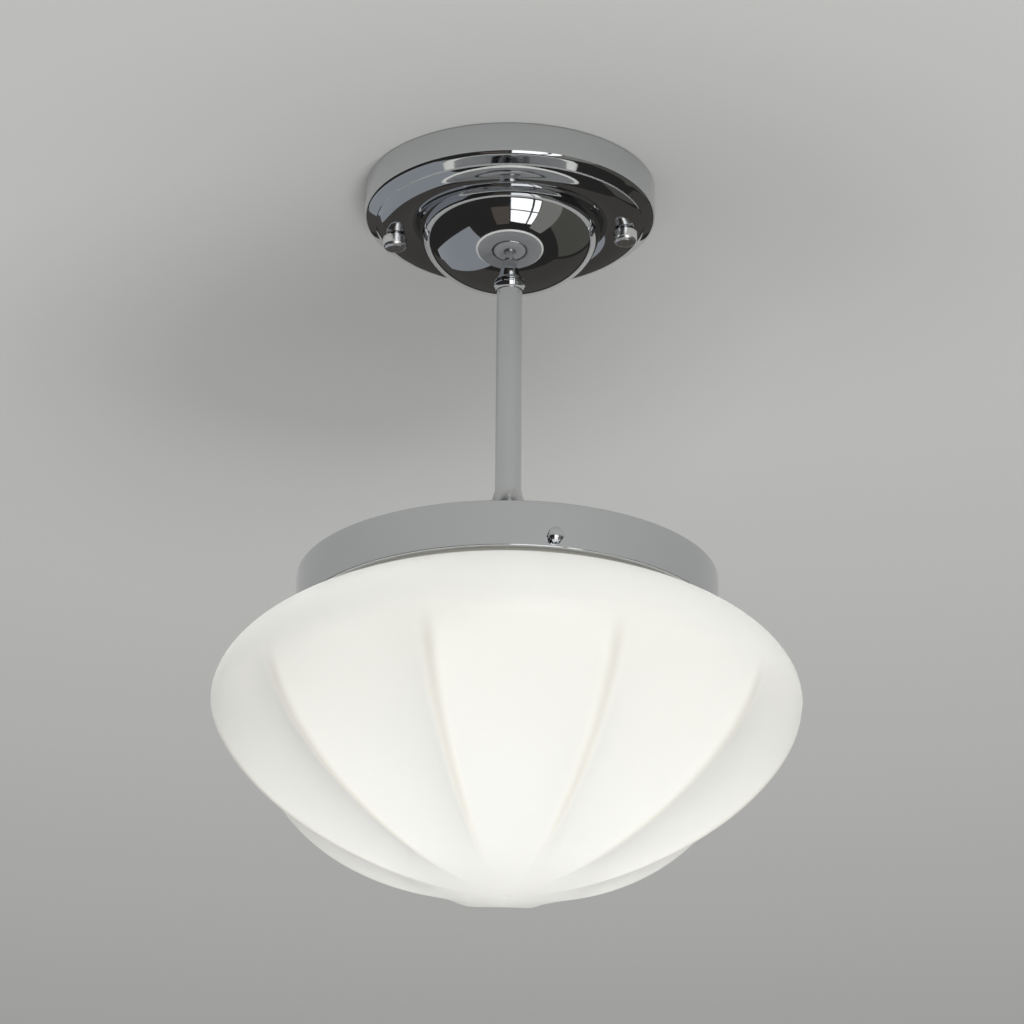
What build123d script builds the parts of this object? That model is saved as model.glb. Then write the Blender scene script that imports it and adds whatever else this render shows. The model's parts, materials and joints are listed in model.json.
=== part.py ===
from build123d import *
import os
from math import acos, asin, atan2, cos, degrees, pi, radians, sin, sqrt, tan

os.makedirs("parts", exist_ok=True)

# Ceiling light, in millimetres. The ceiling is the plane Z = 0, the light hangs
# below it on the Z axis, and the two rose nuts lie on the X axis.

# Clearances
FIT = 0.05            # radial play of pieces that are screwed or pushed together
RUN = 0.08            # radial play around a piece that turns or slides
PLAY = 0.4            # free gap around loose pieces such as the glass shade and the lamp
NEAR = 0.01           # two radii closer than this count as the same

# Sheet metal of the rose and of the gallery
SHEET = 1.0

# Rod and its fixings
ROD_R = 5.0
ROD_BORE_R = 3.75
ROD_TOP_Z = -30.0
LOCKNUT_FLATS = 14.0
LOCKNUT_H = 4.0
NUT_BEVEL = 0.12      # bevel of a hexagon nut's corners, as a share of its flats
SLOT_SHARE = 0.3      # width of a screwdriver slot, as a share of the head radius
ROD_WASHER_R = 7.4
ROD_WASHER_H = 1.2
COLLAR_LIP = 0.9      # straight edge of a flared collar
COLLAR_END = 0.3      # wall left at the thin end of a flared collar
COLLAR_HOLLOW = 0.15  # how hollow the flare is, as a share of its width

# Ceiling rose
ROSE_R = 56.7
ROSE_WALL = 12.3      # depth of the upright rim
ROSE_ROUND = 2.2      # rounding between rim and bevel
BEVEL_ANGLE = 30.0
BEVEL_W = 4.4         # the bevel ends in a small step, where the bead ring begins
BEAD_OUTER_W = 8.3    # from the step to the crown of the bead ring
BEAD_INNER_W = 8.7    # from the crown to the foot of the dome
CROWN_DROP = 6.4      # the crown lies this far below the upright rim
BEAD_RADIUS = 12.6    # radius of the bead in section
DOME_DEPTH = 25.2
DOME_FOOT = 0.6       # short upright foot of the dome
POLE_SEAT = 0.2       # the flat seat inside the pole is this much wider than the rod's washer
TOP_COLLAR_R = 6.1
TOP_COLLAR_H = 3.2

# Mounting plate, studs and rose nuts
PLATE_T = 1.5
PLATE_EDGE = 1.0      # from the plate's round edge to the bend of its ears
EAR_W = 18.0
EAR_END = 6.0         # from a stud to the end of its ear
EAR_DROP = 4.5
JOGGLE_RUN = 3.5
JOGGLE_GAP = 8.0      # the ears start to bend this far inside the studs
STUD_OFFSET = 1.0     # the studs lie this far outside the crown of the bead
M4_R = 2.0
M4_PITCH = 0.7
M4_FLATS = 7.0
M4_NUT_H = 3.2
STUD_HEAD_R = 3.5
STUD_HEAD_H = 2.6
NUT_R = 4.65
NUT_H = 5.0
NUT_ROUND = 1.3
NUT_CROWN = 1.0       # metal left under the blind thread
NUT_WASHER_R = 3.9
NUT_WASHER_H = 0.4
SLOT_SPACING = 51.0
SLOT_W = 5.0
SLOT_L = 12.0
CABLE_HOLE_R = 7.0
GROMMET_BORE_R = 4.5
GROMMET_FLANGE_R = 9.5
GROMMET_FLANGE_H = 2.0

# Earth fixings on the plate
EARTH_Y = -24.0
EARTH_EYE_R = 4.2
EARTH_EYE_H = 1.1
EARTH_WASHER_R = 4.5
EARTH_WASHER_H = 0.8
EARTH_HEAD_R = 3.8
EARTH_HEAD_H = 2.4
TAG_T = 0.8
TAG_W = 5.0

# Terminal block
BLOCK_L = 29.0
BLOCK_W = 15.0
BLOCK_H = 12.0
BLOCK_Y = 22.5
BLOCK_ROUND = 1.5
WAY_PITCH = 9.5
TUBE_R = 2.4
TUBE_BORE_R = 1.5
TUBE_END = 0.5        # how far the tubes stand back from the block's sides
CLAMP_R = 1.25
CLAMP_SUNK = 1.0      # the clamp screws lie this deep in their wells
CLAMP_Y = 4.0         # clamp screws lie this far each side of the block's middle
CLAMP_WELL_R = 1.7
BLOCK_SCREW_R = 1.45
BLOCK_SCREW_HEAD_R = 2.8
BLOCK_SCREW_HEAD_H = 1.8

# Leads
LEAD_R = 1.1
CORE_R = 0.65
LEAD_X = 1.3          # each lead lies this far from the axis inside the rod
BARE_END = 4.0
LEAD_BEND = 2.5
EARTH_LEAD_R = 0.85

# Gallery
GALLERY_TOP_Z = -165.0
GALLERY_WALL = 17.6
GALLERY_LIP_W = 2.7   # width of the lip turned in at the bottom
GALLERY_LIP_GAP = 2.8  # between that lip and the lip of the glass
GALLERY_ROUND = 0.5
BELL_R = 42.0
BELL_RISE = 27.0
BELL_FLAT = 0.8       # how far the top of the bell is pressed flat
LOW_COLLAR_R = 9.8
LOW_COLLAR_H = 10.2

# Thumb screws in the gallery wall
SCREW_COUNT = 3
SCREW_TURN = 16.3     # degrees from -Y towards +X
BOSS_R = 3.2
BOSS_LENGTH = 2.9
HEAD_R = 2.9
HEAD_L = 2.8
HEAD_GAP = 0.6        # gap between gallery wall and screw head
HEAD_ROUND = 0.8
TIP_R = 1.7
TIP_L = 1.9
TIP_STEM_R = 1.0
TIP_STEM_L = 2.0

# Glass shade
RIDGES = 10
RIDGE_TURN = -11.0    # degrees from -Y towards +X
RIDGE_ROUND = 2.0     # half width of a rounded ridge, in degrees
SHADE_R = 110.0
SHADE_RISE = 44.0
SHADE_DROP = 74.0
SHADE_FULLNESS = 1.69  # 2 would make the bowl's ridges elliptic, less makes them straighter
BOWL_LEVELS = (0, 0.05, 0.13, 0.25, 0.4, 0.55, 0.7, 0.82, 0.91, 0.965, 0.992)
FLUTE_SHARE = 0.145   # depth of a panel as a share of the ridge radius
FLUTE_POWER = 0.75
FLUTE_FADE = 0.42     # nearer the pole than this share of the radius, the panels grow shallow
CREST_SHARE = 0.11    # how far the panels would meet above the rounded ridge
GLASS = 3.2
NECK_R = 70.3
NECK_H = 5.15         # from the lip down to the shoulder
LIP_REACH = 3.7       # how far the lip stands out from the neck
LIP_H = 5.0
LIP_ROUND = 1.4

# Lampholder
HOLDER_R = 19.0
HOLDER_SHELL = 2.0
HOLDER_NECK_R = 8.0
HOLDER_NECK_H = 7.0
HOLDER_THREAD = 9.5   # length of thread on the rod's lower end
HOLDER_SHOULDER = 6.0
HOLDER_ROOM = 9.5     # wiring room above the insert
INSERT_H = 9.0
SPIGOT_H = 4.0
SKIRT_H = 28.0
SKIRT_BORE_R = 14.6
SKIRT_ROUND = 0.6
SLEEVE_T = 0.6
SLEEVE_H = 26.0
SLEEVE_EYE_R = 10.4
POST_X = 8.0
POST_R = 2.4
POST_H = 3.5
SPRING_W = 6.0
SPRING_T = 0.5
SPRING_L = 12.0
SPRING_DROP = 4.0

# Lamp
LAMP_CAP_R = 13.25
LAMP_CAP_H = 21.5
LAMP_TIP_R = 4.5
LAMP_TIP_H = 1.0
LAMP_TIP_LAND = 0.5   # insulator showing around the contact tip
LAMP_INSULATOR_H = 3.2
LAMP_SHELL = 0.8
LAMP_BODY_H = 20.0
LAMP_PLUG_H = 8.0     # length of the body inside the screw cap
LAMP_NECK_H = 3.0
LAMP_FLARE = (0.73, 0.56)  # middle of the body's flare, as shares of its width and height
LAMP_R = 22.5
LAMP_GLOBE_H = 34.0
LAMP_SHELL_GLOBE = 1.5

# Radii and heights that follow from the sizes above
STEP_R = ROSE_R - BEVEL_W
BEAD_MID_R = STEP_R - BEAD_OUTER_W
DOME_R = BEAD_MID_R - BEAD_INNER_W
STUD_X = BEAD_MID_R + STUD_OFFSET
EAR_REACH = STUD_X + EAR_END
JOGGLE_X = STUD_X - JOGGLE_GAP
PLATE_R = JOGGLE_X - PLATE_EDGE
LIP_R = NECK_R + LIP_REACH
GALLERY_LIP_R = LIP_R + GALLERY_LIP_GAP
GALLERY_R = GALLERY_LIP_R + GALLERY_LIP_W
BEAD_CROWN_Z = -ROSE_WALL - CROWN_DROP
BEAD_MID_Z = BEAD_CROWN_Z + BEAD_RADIUS
DOME_CREASE_Z = BEAD_MID_Z - sqrt(BEAD_RADIUS**2 - (BEAD_MID_R - DOME_R) ** 2)
DOME_MID_Z = DOME_CREASE_Z - DOME_FOOT
POLE_SHARE = (ROD_WASHER_R + POLE_SEAT) / (DOME_R - SHEET)
POLE_FLAT = (DOME_DEPTH - SHEET) * (1 - sqrt(1 - POLE_SHARE**2))  # how far the pole is pressed flat
POLE_Z = DOME_MID_Z - DOME_DEPTH + POLE_FLAT
TOP_WASHER_Z = POLE_Z + SHEET
TAG_Z = TOP_WASHER_Z + ROD_WASHER_H
DOME_INSIDE_R = (DOME_R - SHEET) * sqrt(1 - ((DOME_MID_Z - TAG_Z) / (DOME_DEPTH - SHEET)) ** 2)
TAG_REACH = sqrt((DOME_INSIDE_R - PLAY) ** 2 - (TAG_W / 2) ** 2)
TOP_NUT_Z = TAG_Z + TAG_T
BELL_TOP_Z = GALLERY_TOP_Z + BELL_RISE - BELL_FLAT
LOW_WASHER_Z = BELL_TOP_Z - SHEET
LOW_NUT_Z = LOW_WASHER_Z - ROD_WASHER_H
HOLDER_TOP_Z = LOW_NUT_Z - LOCKNUT_H
ROD_END_Z = HOLDER_TOP_Z - HOLDER_THREAD
INSERT_TOP_Z = ROD_END_Z - HOLDER_ROOM
INSERT_LOW_Z = INSERT_TOP_Z - INSERT_H
CAP_LOW_Z = INSERT_LOW_Z - SPIGOT_H
SKIRT_LOW_Z = CAP_LOW_Z - SKIRT_H
LAMP_TOP_Z = INSERT_LOW_Z - SPRING_DROP - PLAY
LAMP_CAP_TOP_Z = LAMP_TOP_Z - LAMP_TIP_H - LAMP_INSULATOR_H
LAMP_CAP_LOW_Z = LAMP_CAP_TOP_Z - LAMP_CAP_H
LAMP_BODY_LOW_Z = LAMP_CAP_LOW_Z - LAMP_BODY_H
GALLERY_LOW_Z = GALLERY_TOP_Z - GALLERY_WALL
SCREW_Z = GALLERY_LOW_Z + SHEET + BOSS_R + FIT
SHANK_R = M4_R - FIT
LIP_LOW_Z = SCREW_Z + SHANK_R + PLAY
NECK_LOW_Z = LIP_LOW_Z - NECK_H
SHADE_MID_Z = NECK_LOW_Z - SHADE_RISE * sqrt(1 - (NECK_R / SHADE_R) ** 2)
NUT_TOP_Z = BEAD_CROWN_Z - NUT_WASHER_H
NUT_LOW_Z = NUT_TOP_Z - NUT_H
EAR_TOP_Z = -EAR_DROP
EAR_LOW_Z = EAR_TOP_Z - PLATE_T
BLOCK_LOW_Z = -PLATE_T - BLOCK_H
TUBE_Z = -PLATE_T - BLOCK_H / 2
SLEEVE_R = LAMP_CAP_R + PLAY


def disc(radius, top, bottom, x=0.0, y=0.0):
    """Upright cylinder between two heights."""
    return Pos(x, y, (top + bottom) / 2) * Cylinder(radius, top - bottom)


def ring(bore, radius, top, bottom, x=0.0, y=0.0):
    """Upright tube between two heights."""
    return disc(radius, top, bottom, x, y) - disc(bore, top, bottom, x, y)


def turned(*curves):
    """Solid of revolution about Z of a closed outline drawn as radius and height."""
    edges = [edge for curve in curves for edge in curve.edges()]
    return revolve(Plane.XZ * make_face(edges), Axis.Z, 360)


def polygon_turned(*points):
    """Solid of revolution of a straight-sided outline."""
    return turned(Polyline(*points, close=True))


def hexagon_nut(flats, bore, top, height, x=0.0):
    """Hexagon nut with bevelled corners, its top face at the given height."""
    body = extrude(RegularPolygon(flats / 2, 6, major_radius=False), -height)
    corner_r = flats / sqrt(3)
    bevel = NUT_BEVEL * flats
    cone = polygon_turned(
        (0, 0), (corner_r - bevel, 0), (corner_r, -bevel / 2),
        (corner_r, -height + bevel / 2), (corner_r - bevel, -height), (0, -height),
    )
    nut = (body & cone) - disc(bore, 0, -height)
    return Pos(x, 0, top) * nut


def radial(solid, angle):
    """Turns a piece drawn along +Z so that it points outwards at an angle from -Y."""
    return Pos(0, 0, SCREW_Z) * Rot(0, 0, angle) * Rot(90, 0, 0) * solid


# Ceiling rose
def bevel_z(radius, inset):
    """Height of the bevel of the rose, or of its inside face."""
    slope = radians(BEVEL_ANGLE)
    return -ROSE_WALL - (ROSE_R - radius) * tan(slope) + inset / cos(slope)


def bead_z(radius, inset):
    """Height of the bead ring of the rose, or of its inside face."""
    return BEAD_MID_Z - sqrt((BEAD_RADIUS - inset) ** 2 - (radius - BEAD_MID_R) ** 2)


def oval(width, depth, mid_z, flat, upwards):
    """Curve of a dome from its foot to its flat pole, and the radius of that flat."""
    angle = degrees(asin(1 - flat / depth))
    flat_r = width * cos(radians(angle))
    turn = angle if upwards else -angle
    curve = EllipticalCenterArc((0, mid_z), width, depth, start_angle=0, arc_size=turn)
    return curve, flat_r


def rose_filled(inset):
    """The rose filled to the axis, shrunk by the inset."""
    wall_r = ROSE_R - inset
    step_r = STEP_R - inset
    foot_r = DOME_R - inset
    pole_z = POLE_Z + inset
    dome, flat_r = oval(foot_r, DOME_DEPTH - inset, DOME_MID_Z, POLE_FLAT, False)
    outline = [
        Polyline((flat_r, pole_z), (0, pole_z), (0, 0), (wall_r, 0), (wall_r, bevel_z(wall_r, inset)),
                 (step_r, bevel_z(step_r, inset)), (step_r, bead_z(step_r, inset))),
        ThreePointArc((step_r, bead_z(step_r, inset)), (BEAD_MID_R, BEAD_CROWN_Z + inset),
                      (foot_r, bead_z(foot_r, inset))),
        Line((foot_r, bead_z(foot_r, inset)), (foot_r, DOME_MID_Z)),
        dome,
    ]
    return turned(*outline)


def ceiling_rose():
    outside = rose_filled(0)
    rim_edge = outside.edges().filter_by(GeomType.CIRCLE).filter_by(
        lambda e: abs(e.radius - ROSE_R) < NEAR and e.center().Z < -ROSE_WALL / 2)
    shell = fillet(rim_edge, ROSE_ROUND) - rose_filled(SHEET)
    shell -= disc(ROD_R + FIT, 0, POLE_Z - SHEET)
    for x in (-STUD_X, STUD_X):
        shell -= disc(M4_R + PLAY, 0, BEAD_CROWN_Z - SHEET, x)
    return shell


def flared_collar(wide_r, height, seat_z, upwards):
    """Collar on the rod: a straight edge against its seat, then a hollow flare."""
    way = 1 if upwards else -1
    bore = ROD_R + FIT
    edge_z = seat_z + way * COLLAR_LIP
    end_z = seat_z + way * height
    end_r = bore + COLLAR_END
    hollow = ((wide_r + end_r) / 2 - COLLAR_HOLLOW * (wide_r - end_r), (edge_z + end_z) / 2)
    return turned(
        Polyline((end_r, end_z), (bore, end_z), (bore, seat_z), (wide_r, seat_z), (wide_r, edge_z)),
        ThreePointArc((wide_r, edge_z), hollow, (end_r, end_z)),
    )


# Mounting plate and its fasteners
def mounting_plate():
    slope = atan2(EAR_DROP, JOGGLE_RUN)
    shift = PLATE_T * tan(slope / 2)
    bend_end = JOGGLE_X + JOGGLE_RUN
    right = [(JOGGLE_X, 0), (bend_end, EAR_TOP_Z), (EAR_REACH, EAR_TOP_Z), (EAR_REACH, EAR_LOW_Z),
             (bend_end - shift, EAR_LOW_Z), (JOGGLE_X - shift, -PLATE_T)]
    left = [(-x, z) for x, z in reversed(right)]
    section = Plane.XZ * make_face(Polyline(*right, *left, close=True))
    plate = extrude(section, EAR_W / 2, both=True) + disc(PLATE_R, 0, -PLATE_T)
    plate -= disc(CABLE_HOLE_R, 0, -PLATE_T)
    slot = extrude(SlotOverall(SLOT_L, SLOT_W), -PLATE_T)
    for side in (-1, 1):
        plate -= Pos(side * SLOT_SPACING / 2, 0, 0) * slot
        plate -= disc(M4_R, 0, EAR_LOW_Z, side * STUD_X)
    plate -= disc(M4_R, 0, -PLATE_T, 0, EARTH_Y)
    plate -= disc(BLOCK_SCREW_R + FIT, 0, -PLATE_T, WAY_PITCH / 2, BLOCK_Y)
    return plate


def cable_grommet():
    sleeve = ring(GROMMET_BORE_R, CABLE_HOLE_R - FIT, 0, -PLATE_T)
    return sleeve + ring(GROMMET_BORE_R, GROMMET_FLANGE_R, -PLATE_T, -PLATE_T - GROMMET_FLANGE_H)


def stud(x):
    head = disc(STUD_HEAD_R, EAR_TOP_Z + STUD_HEAD_H, EAR_TOP_Z, x)
    return head + disc(SHANK_R, EAR_TOP_Z, NUT_LOW_Z + NUT_CROWN + PLAY, x)


def rose_nut(x):
    body = disc(NUT_R, NUT_TOP_Z, NUT_LOW_Z, x)
    body = fillet(body.edges().group_by(Axis.Z)[0], NUT_ROUND)
    return body - disc(SHANK_R + RUN, NUT_TOP_Z, NUT_LOW_Z + NUT_CROWN, x)


def earth_screw():
    head_top = -PLATE_T - EARTH_EYE_H - EARTH_WASHER_H
    head = disc(EARTH_HEAD_R, head_top, head_top - EARTH_HEAD_H, 0, EARTH_Y)
    head = fillet(head.edges().group_by(Axis.Z)[0], EARTH_HEAD_H / 3)
    slot = Pos(0, EARTH_Y, head_top - EARTH_HEAD_H) * Box(2 * EARTH_HEAD_R, SLOT_SHARE * EARTH_HEAD_R, EARTH_HEAD_H)
    return head - slot + disc(SHANK_R, 0, head_top, 0, EARTH_Y)


def earth_tag():
    eye = disc(ROD_WASHER_R, TAG_Z + TAG_T, TAG_Z)
    tail = Pos(0, -TAG_REACH / 2, TAG_Z + TAG_T / 2) * Box(TAG_W, TAG_REACH, TAG_T)
    return eye + tail - disc(ROD_R + FIT, TAG_Z + TAG_T, TAG_Z)


# Terminal block
def way_places():
    return [k * WAY_PITCH for k in (-1, 0, 1)]


def clamp_places():
    return [(x, BLOCK_Y + side * CLAMP_Y) for x in way_places() for side in (-1, 1)]


def along_y(radius, length, x, z):
    """Cylinder along Y, centred on the block."""
    return Pos(x, BLOCK_Y, z) * Rot(90, 0, 0) * Cylinder(radius, length)


def terminal_block():
    body = Pos(0, BLOCK_Y, TUBE_Z) * Box(BLOCK_L, BLOCK_W, BLOCK_H)
    body = fillet(body.edges().filter_by(Axis.Y), BLOCK_ROUND)
    for x in way_places():
        body -= along_y(TUBE_R + FIT, BLOCK_W, x, TUBE_Z)
    for x, y in clamp_places():
        body -= disc(CLAMP_WELL_R, TUBE_Z, BLOCK_LOW_Z, x, y)
    return body - disc(BLOCK_SCREW_R + FIT, -PLATE_T, BLOCK_LOW_Z, WAY_PITCH / 2, BLOCK_Y)


def terminal_tubes():
    tubes = []
    for x in way_places():
        tube = along_y(TUBE_R, BLOCK_W - 2 * TUBE_END, x, TUBE_Z)
        tube -= along_y(TUBE_BORE_R, BLOCK_W, x, TUBE_Z)
        for side in (-1, 1):
            tube -= disc(CLAMP_R, TUBE_Z, TUBE_Z - TUBE_R, x, BLOCK_Y + side * CLAMP_Y)
        tubes.append(tube)
    return tubes


def clamp_screw(x, y):
    top = TUBE_Z - CORE_R - FIT
    low = BLOCK_LOW_Z + CLAMP_SUNK
    screw = disc(CLAMP_R - FIT, top, low, x, y)
    slot = Pos(x, y, low) * Box(2 * CLAMP_R, SLOT_SHARE * CLAMP_R, CLAMP_R)
    return screw - slot


def block_screw():
    x = WAY_PITCH / 2
    head_low = BLOCK_LOW_Z - BLOCK_SCREW_HEAD_H
    head = disc(BLOCK_SCREW_HEAD_R, BLOCK_LOW_Z, head_low, x, BLOCK_Y)
    head -= Pos(x, BLOCK_Y, head_low) * Box(
        2 * BLOCK_SCREW_HEAD_R, SLOT_SHARE * BLOCK_SCREW_HEAD_R, BLOCK_SCREW_HEAD_H)
    return head + disc(BLOCK_SCREW_R, 0, BLOCK_LOW_Z, x, BLOCK_Y)


# Leads
def lead(path, radius):
    """Round lead along straight runs joined by arcs."""
    line = FilletPolyline(*path, radius=LEAD_BEND)
    start = Plane(origin=line @ 0, z_dir=line % 0)
    return sweep(start * Circle(radius), line)


def mains_lead(side):
    """Lead from the terminal block through the rod to the lampholder."""
    block_face = BLOCK_Y - BLOCK_W / 2
    way_x = side * WAY_PITCH
    rod_x = side * LEAD_X
    post_z = INSERT_TOP_Z + POST_H / 2
    path = [
        (way_x, block_face, TUBE_Z),
        (way_x, block_face - 3 * LEAD_BEND, TUBE_Z),
        (rod_x, 0, ROD_TOP_Z + 3 * LEAD_BEND),
        (rod_x, 0, post_z),
        (side * (POST_X - POST_R), 0, post_z),
    ]
    bare = Pos(way_x, block_face + BARE_END / 2, TUBE_Z) * Rot(90, 0, 0) * Cylinder(CORE_R, BARE_END)
    return lead(path, LEAD_R) + bare


def earth_lead():
    """Lead with an eye under the earth screw and its other end on the earth tag."""
    eye_low_z = -PLATE_T - EARTH_EYE_H
    lead_z = -PLATE_T - EARTH_LEAD_R - FIT
    start_y = EARTH_Y + EARTH_WASHER_R + EARTH_LEAD_R / 4
    end_y = EARTH_LEAD_R + FIT - TAG_REACH + TAG_W / 4
    path = [
        (0, start_y, lead_z),
        (0, start_y + 2 * LEAD_BEND, lead_z),
        (0, end_y, (lead_z + TAG_Z) / 2),
        (0, end_y, TAG_Z + TAG_T),
    ]
    eye = ring(M4_R + FIT, EARTH_EYE_R, -PLATE_T, eye_low_z, 0, EARTH_Y)
    tab_y = EARTH_Y + EARTH_EYE_R
    tab = Pos(0, tab_y, -PLATE_T - EARTH_EYE_H / 2) * Box(2 * EARTH_LEAD_R, 2 * EARTH_LEAD_R, EARTH_EYE_H)
    return eye + tab + lead(path, EARTH_LEAD_R)


# Rod
def rod_tube():
    return ring(ROD_BORE_R, ROD_R, ROD_TOP_Z, ROD_END_Z)


def rod_washer(top):
    return ring(ROD_R + FIT, ROD_WASHER_R, top, top - ROD_WASHER_H)


# Gallery
def gallery_filled(inset):
    """The gallery filled to the axis, shrunk by the inset."""
    bell, flat_r = oval(BELL_R - inset, BELL_RISE - inset, GALLERY_TOP_Z, BELL_FLAT, True)
    top_z = GALLERY_TOP_Z - inset
    bell_r = BELL_R - inset
    low_z = GALLERY_LOW_Z + inset
    wall_r = GALLERY_R - inset
    flat_z = BELL_TOP_Z - inset
    outline = [bell, Polyline((flat_r, flat_z), (0, flat_z), (0, low_z), (wall_r, low_z), (wall_r, top_z),
                              (bell_r, top_z))]
    if inset > 0:
        outline.append(Line((bell_r, top_z), (bell_r, GALLERY_TOP_Z)))
    return turned(*outline)


def gallery():
    outside = gallery_filled(0)
    rims = outside.edges().filter_by(GeomType.CIRCLE).filter_by(
        lambda e: abs(e.radius - GALLERY_R) < NEAR)
    shell = fillet(rims, GALLERY_ROUND) - gallery_filled(SHEET)
    shell -= disc(GALLERY_LIP_R, GALLERY_LOW_Z + SHEET, GALLERY_LOW_Z)
    shell -= disc(ROD_R + FIT, BELL_TOP_Z, LOW_WASHER_Z)
    hole = Pos(0, 0, GALLERY_R) * Cylinder(M4_R + PLAY, 4 * SHEET)
    for angle in screw_angles():
        shell -= radial(hole, angle)
    return shell


def screw_angles():
    return [SCREW_TURN + k * 360 / SCREW_COUNT for k in range(SCREW_COUNT)]


def span(radius, start, end):
    """Cylinder along +Z from one distance to another."""
    return Pos(0, 0, (start + end) / 2) * Cylinder(radius, end - start)


def screw_boss(angle):
    inside_r = GALLERY_R - SHEET
    blank = span(BOSS_R, inside_r - BOSS_LENGTH, inside_r + SHEET) - span(SHANK_R + RUN, 0, GALLERY_R)
    room = disc(inside_r, GALLERY_TOP_Z, GALLERY_LOW_Z)
    return radial(blank, angle) & room


def tip_start():
    return NECK_R + PLAY


def thumb_screw(angle):
    end = tip_start() + TIP_L + FIT
    head_start = GALLERY_R + HEAD_GAP
    head = span(HEAD_R, head_start, head_start + HEAD_L)
    head = fillet(head.edges().group_by(Axis.Z)[-1], HEAD_ROUND)
    screw = head + span(SHANK_R, end, head_start)
    screw -= span(TIP_STEM_R + RUN, end, end + TIP_STEM_L + PLAY)
    return radial(screw, angle)


def nylon_tip(angle):
    pad_end = tip_start() + TIP_L
    tip = span(TIP_R, tip_start(), pad_end) + span(TIP_STEM_R, pad_end, pad_end + TIP_STEM_L)
    return radial(tip, angle)


# Glass shade
def panel_point(ridge_r, depth, angle):
    """Radius of a hollow panel at an angle from its middle: one arc between two ridges."""
    half = pi / RIDGES
    mid_r = ridge_r * (1 - depth)
    if depth == 0:
        return ridge_r
    centre = (ridge_r**2 - mid_r**2) / (2 * (ridge_r * cos(half) - mid_r))
    root = sqrt((centre - mid_r) ** 2 - (centre * sin(angle)) ** 2)
    return centre * cos(angle) - root if centre > mid_r else centre * cos(angle) + root


def level_point(radius, angle, z):
    return (radius * cos(angle), radius * sin(angle), z)


def fluted_section(ridge_r, depth, z):
    """Closed level outline of the shade: hollow panels joined by rounded ridges."""
    half = pi / RIDGES
    round_angle = radians(RIDGE_ROUND)
    edge_angle = half - round_angle
    mid_r = ridge_r * (1 - depth)
    apex_r = ridge_r * (1 + CREST_SHARE * depth)
    edge_r = panel_point(apex_r, 1 - mid_r / apex_r, edge_angle)
    edges = []
    for k in range(RIDGES):
        ridge = radians(RIDGE_TURN - 90) + 2 * half * k
        middle = ridge + half
        edges.append(ThreePointArc(level_point(edge_r, ridge - round_angle, z),
                                   level_point(ridge_r, ridge, z),
                                   level_point(edge_r, ridge + round_angle, z)))
        edges.append(ThreePointArc(level_point(edge_r, middle - edge_angle, z),
                                   level_point(mid_r, middle, z),
                                   level_point(edge_r, middle + edge_angle, z)))
    return Face(Wire(edges))


def bowl_filled(inset):
    """The fluted bowl below the widest point, filled to the axis."""
    drop = SHADE_DROP - inset
    sections = []
    for share in BOWL_LEVELS:
        width = (1 - share**SHADE_FULLNESS) ** (1 / SHADE_FULLNESS)
        depth = FLUTE_SHARE * sin(share * pi / 2) ** FLUTE_POWER * min(1, width / FLUTE_FADE) ** 2
        sections.append(fluted_section((SHADE_R - inset) * width, depth, SHADE_MID_Z - share * drop))
    return loft(sections)


def shoulder_filled(inset):
    """The round shoulder above the widest point, filled to the axis."""
    radius = SHADE_R - inset
    neck_r = NECK_R - inset
    rise = SHADE_RISE - inset
    turn = acos(neck_r / radius)
    neck_z = SHADE_MID_Z + rise * sin(turn)
    curve = EllipticalCenterArc((0, SHADE_MID_Z), radius, rise, start_angle=0, arc_size=degrees(turn))
    frame = Polyline((neck_r, neck_z), (0, neck_z), (0, SHADE_MID_Z), (radius, SHADE_MID_Z))
    return turned(curve, frame)


def glass_shade():
    bowl = bowl_filled(0) - bowl_filled(GLASS)
    bore_r = NECK_R - GLASS
    lip_top_z = LIP_LOW_Z + LIP_H
    lip = disc(LIP_R, lip_top_z, LIP_LOW_Z)
    top = shoulder_filled(0) + disc(NECK_R, LIP_LOW_Z, NECK_LOW_Z) + fillet(lip.edges(), LIP_ROUND)
    top -= disc(bore_r, lip_top_z, SHADE_MID_Z + SHADE_RISE / 2)
    return top - shoulder_filled(GLASS) + bowl


# Lampholder
def holder_cap():
    bore = ROD_R + FIT
    inner_r = HOLDER_R - HOLDER_SHELL
    neck_z = HOLDER_TOP_Z - HOLDER_NECK_H
    wall_z = neck_z - HOLDER_SHOULDER
    return polygon_turned(
        (bore, HOLDER_TOP_Z), (HOLDER_NECK_R, HOLDER_TOP_Z), (HOLDER_NECK_R, neck_z), (HOLDER_R, wall_z),
        (HOLDER_R, CAP_LOW_Z), (inner_r, CAP_LOW_Z), (inner_r, wall_z - HOLDER_SHELL / 2),
        (HOLDER_NECK_R + HOLDER_SHELL / 2, ROD_END_Z), (bore, ROD_END_Z),
    )


def holder_insert():
    insert = disc(HOLDER_R - HOLDER_SHELL - FIT, INSERT_TOP_Z, INSERT_LOW_Z)
    for x in (-POST_X, POST_X):
        insert -= disc(CLAMP_R + FIT, INSERT_TOP_Z, INSERT_LOW_Z, x)
    return insert


def holder_post(x):
    return disc(POST_R, INSERT_TOP_Z + POST_H, INSERT_TOP_Z, x) + disc(
        CLAMP_R, INSERT_TOP_Z, INSERT_LOW_Z, x)


def holder_skirt():
    tube = ring(SKIRT_BORE_R, HOLDER_R, CAP_LOW_Z, SKIRT_LOW_Z)
    tube = fillet(tube.edges().group_by(Axis.Z)[0], SKIRT_ROUND)
    return tube + ring(SKIRT_BORE_R, HOLDER_R - HOLDER_SHELL - FIT, INSERT_LOW_Z, CAP_LOW_Z)


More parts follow.
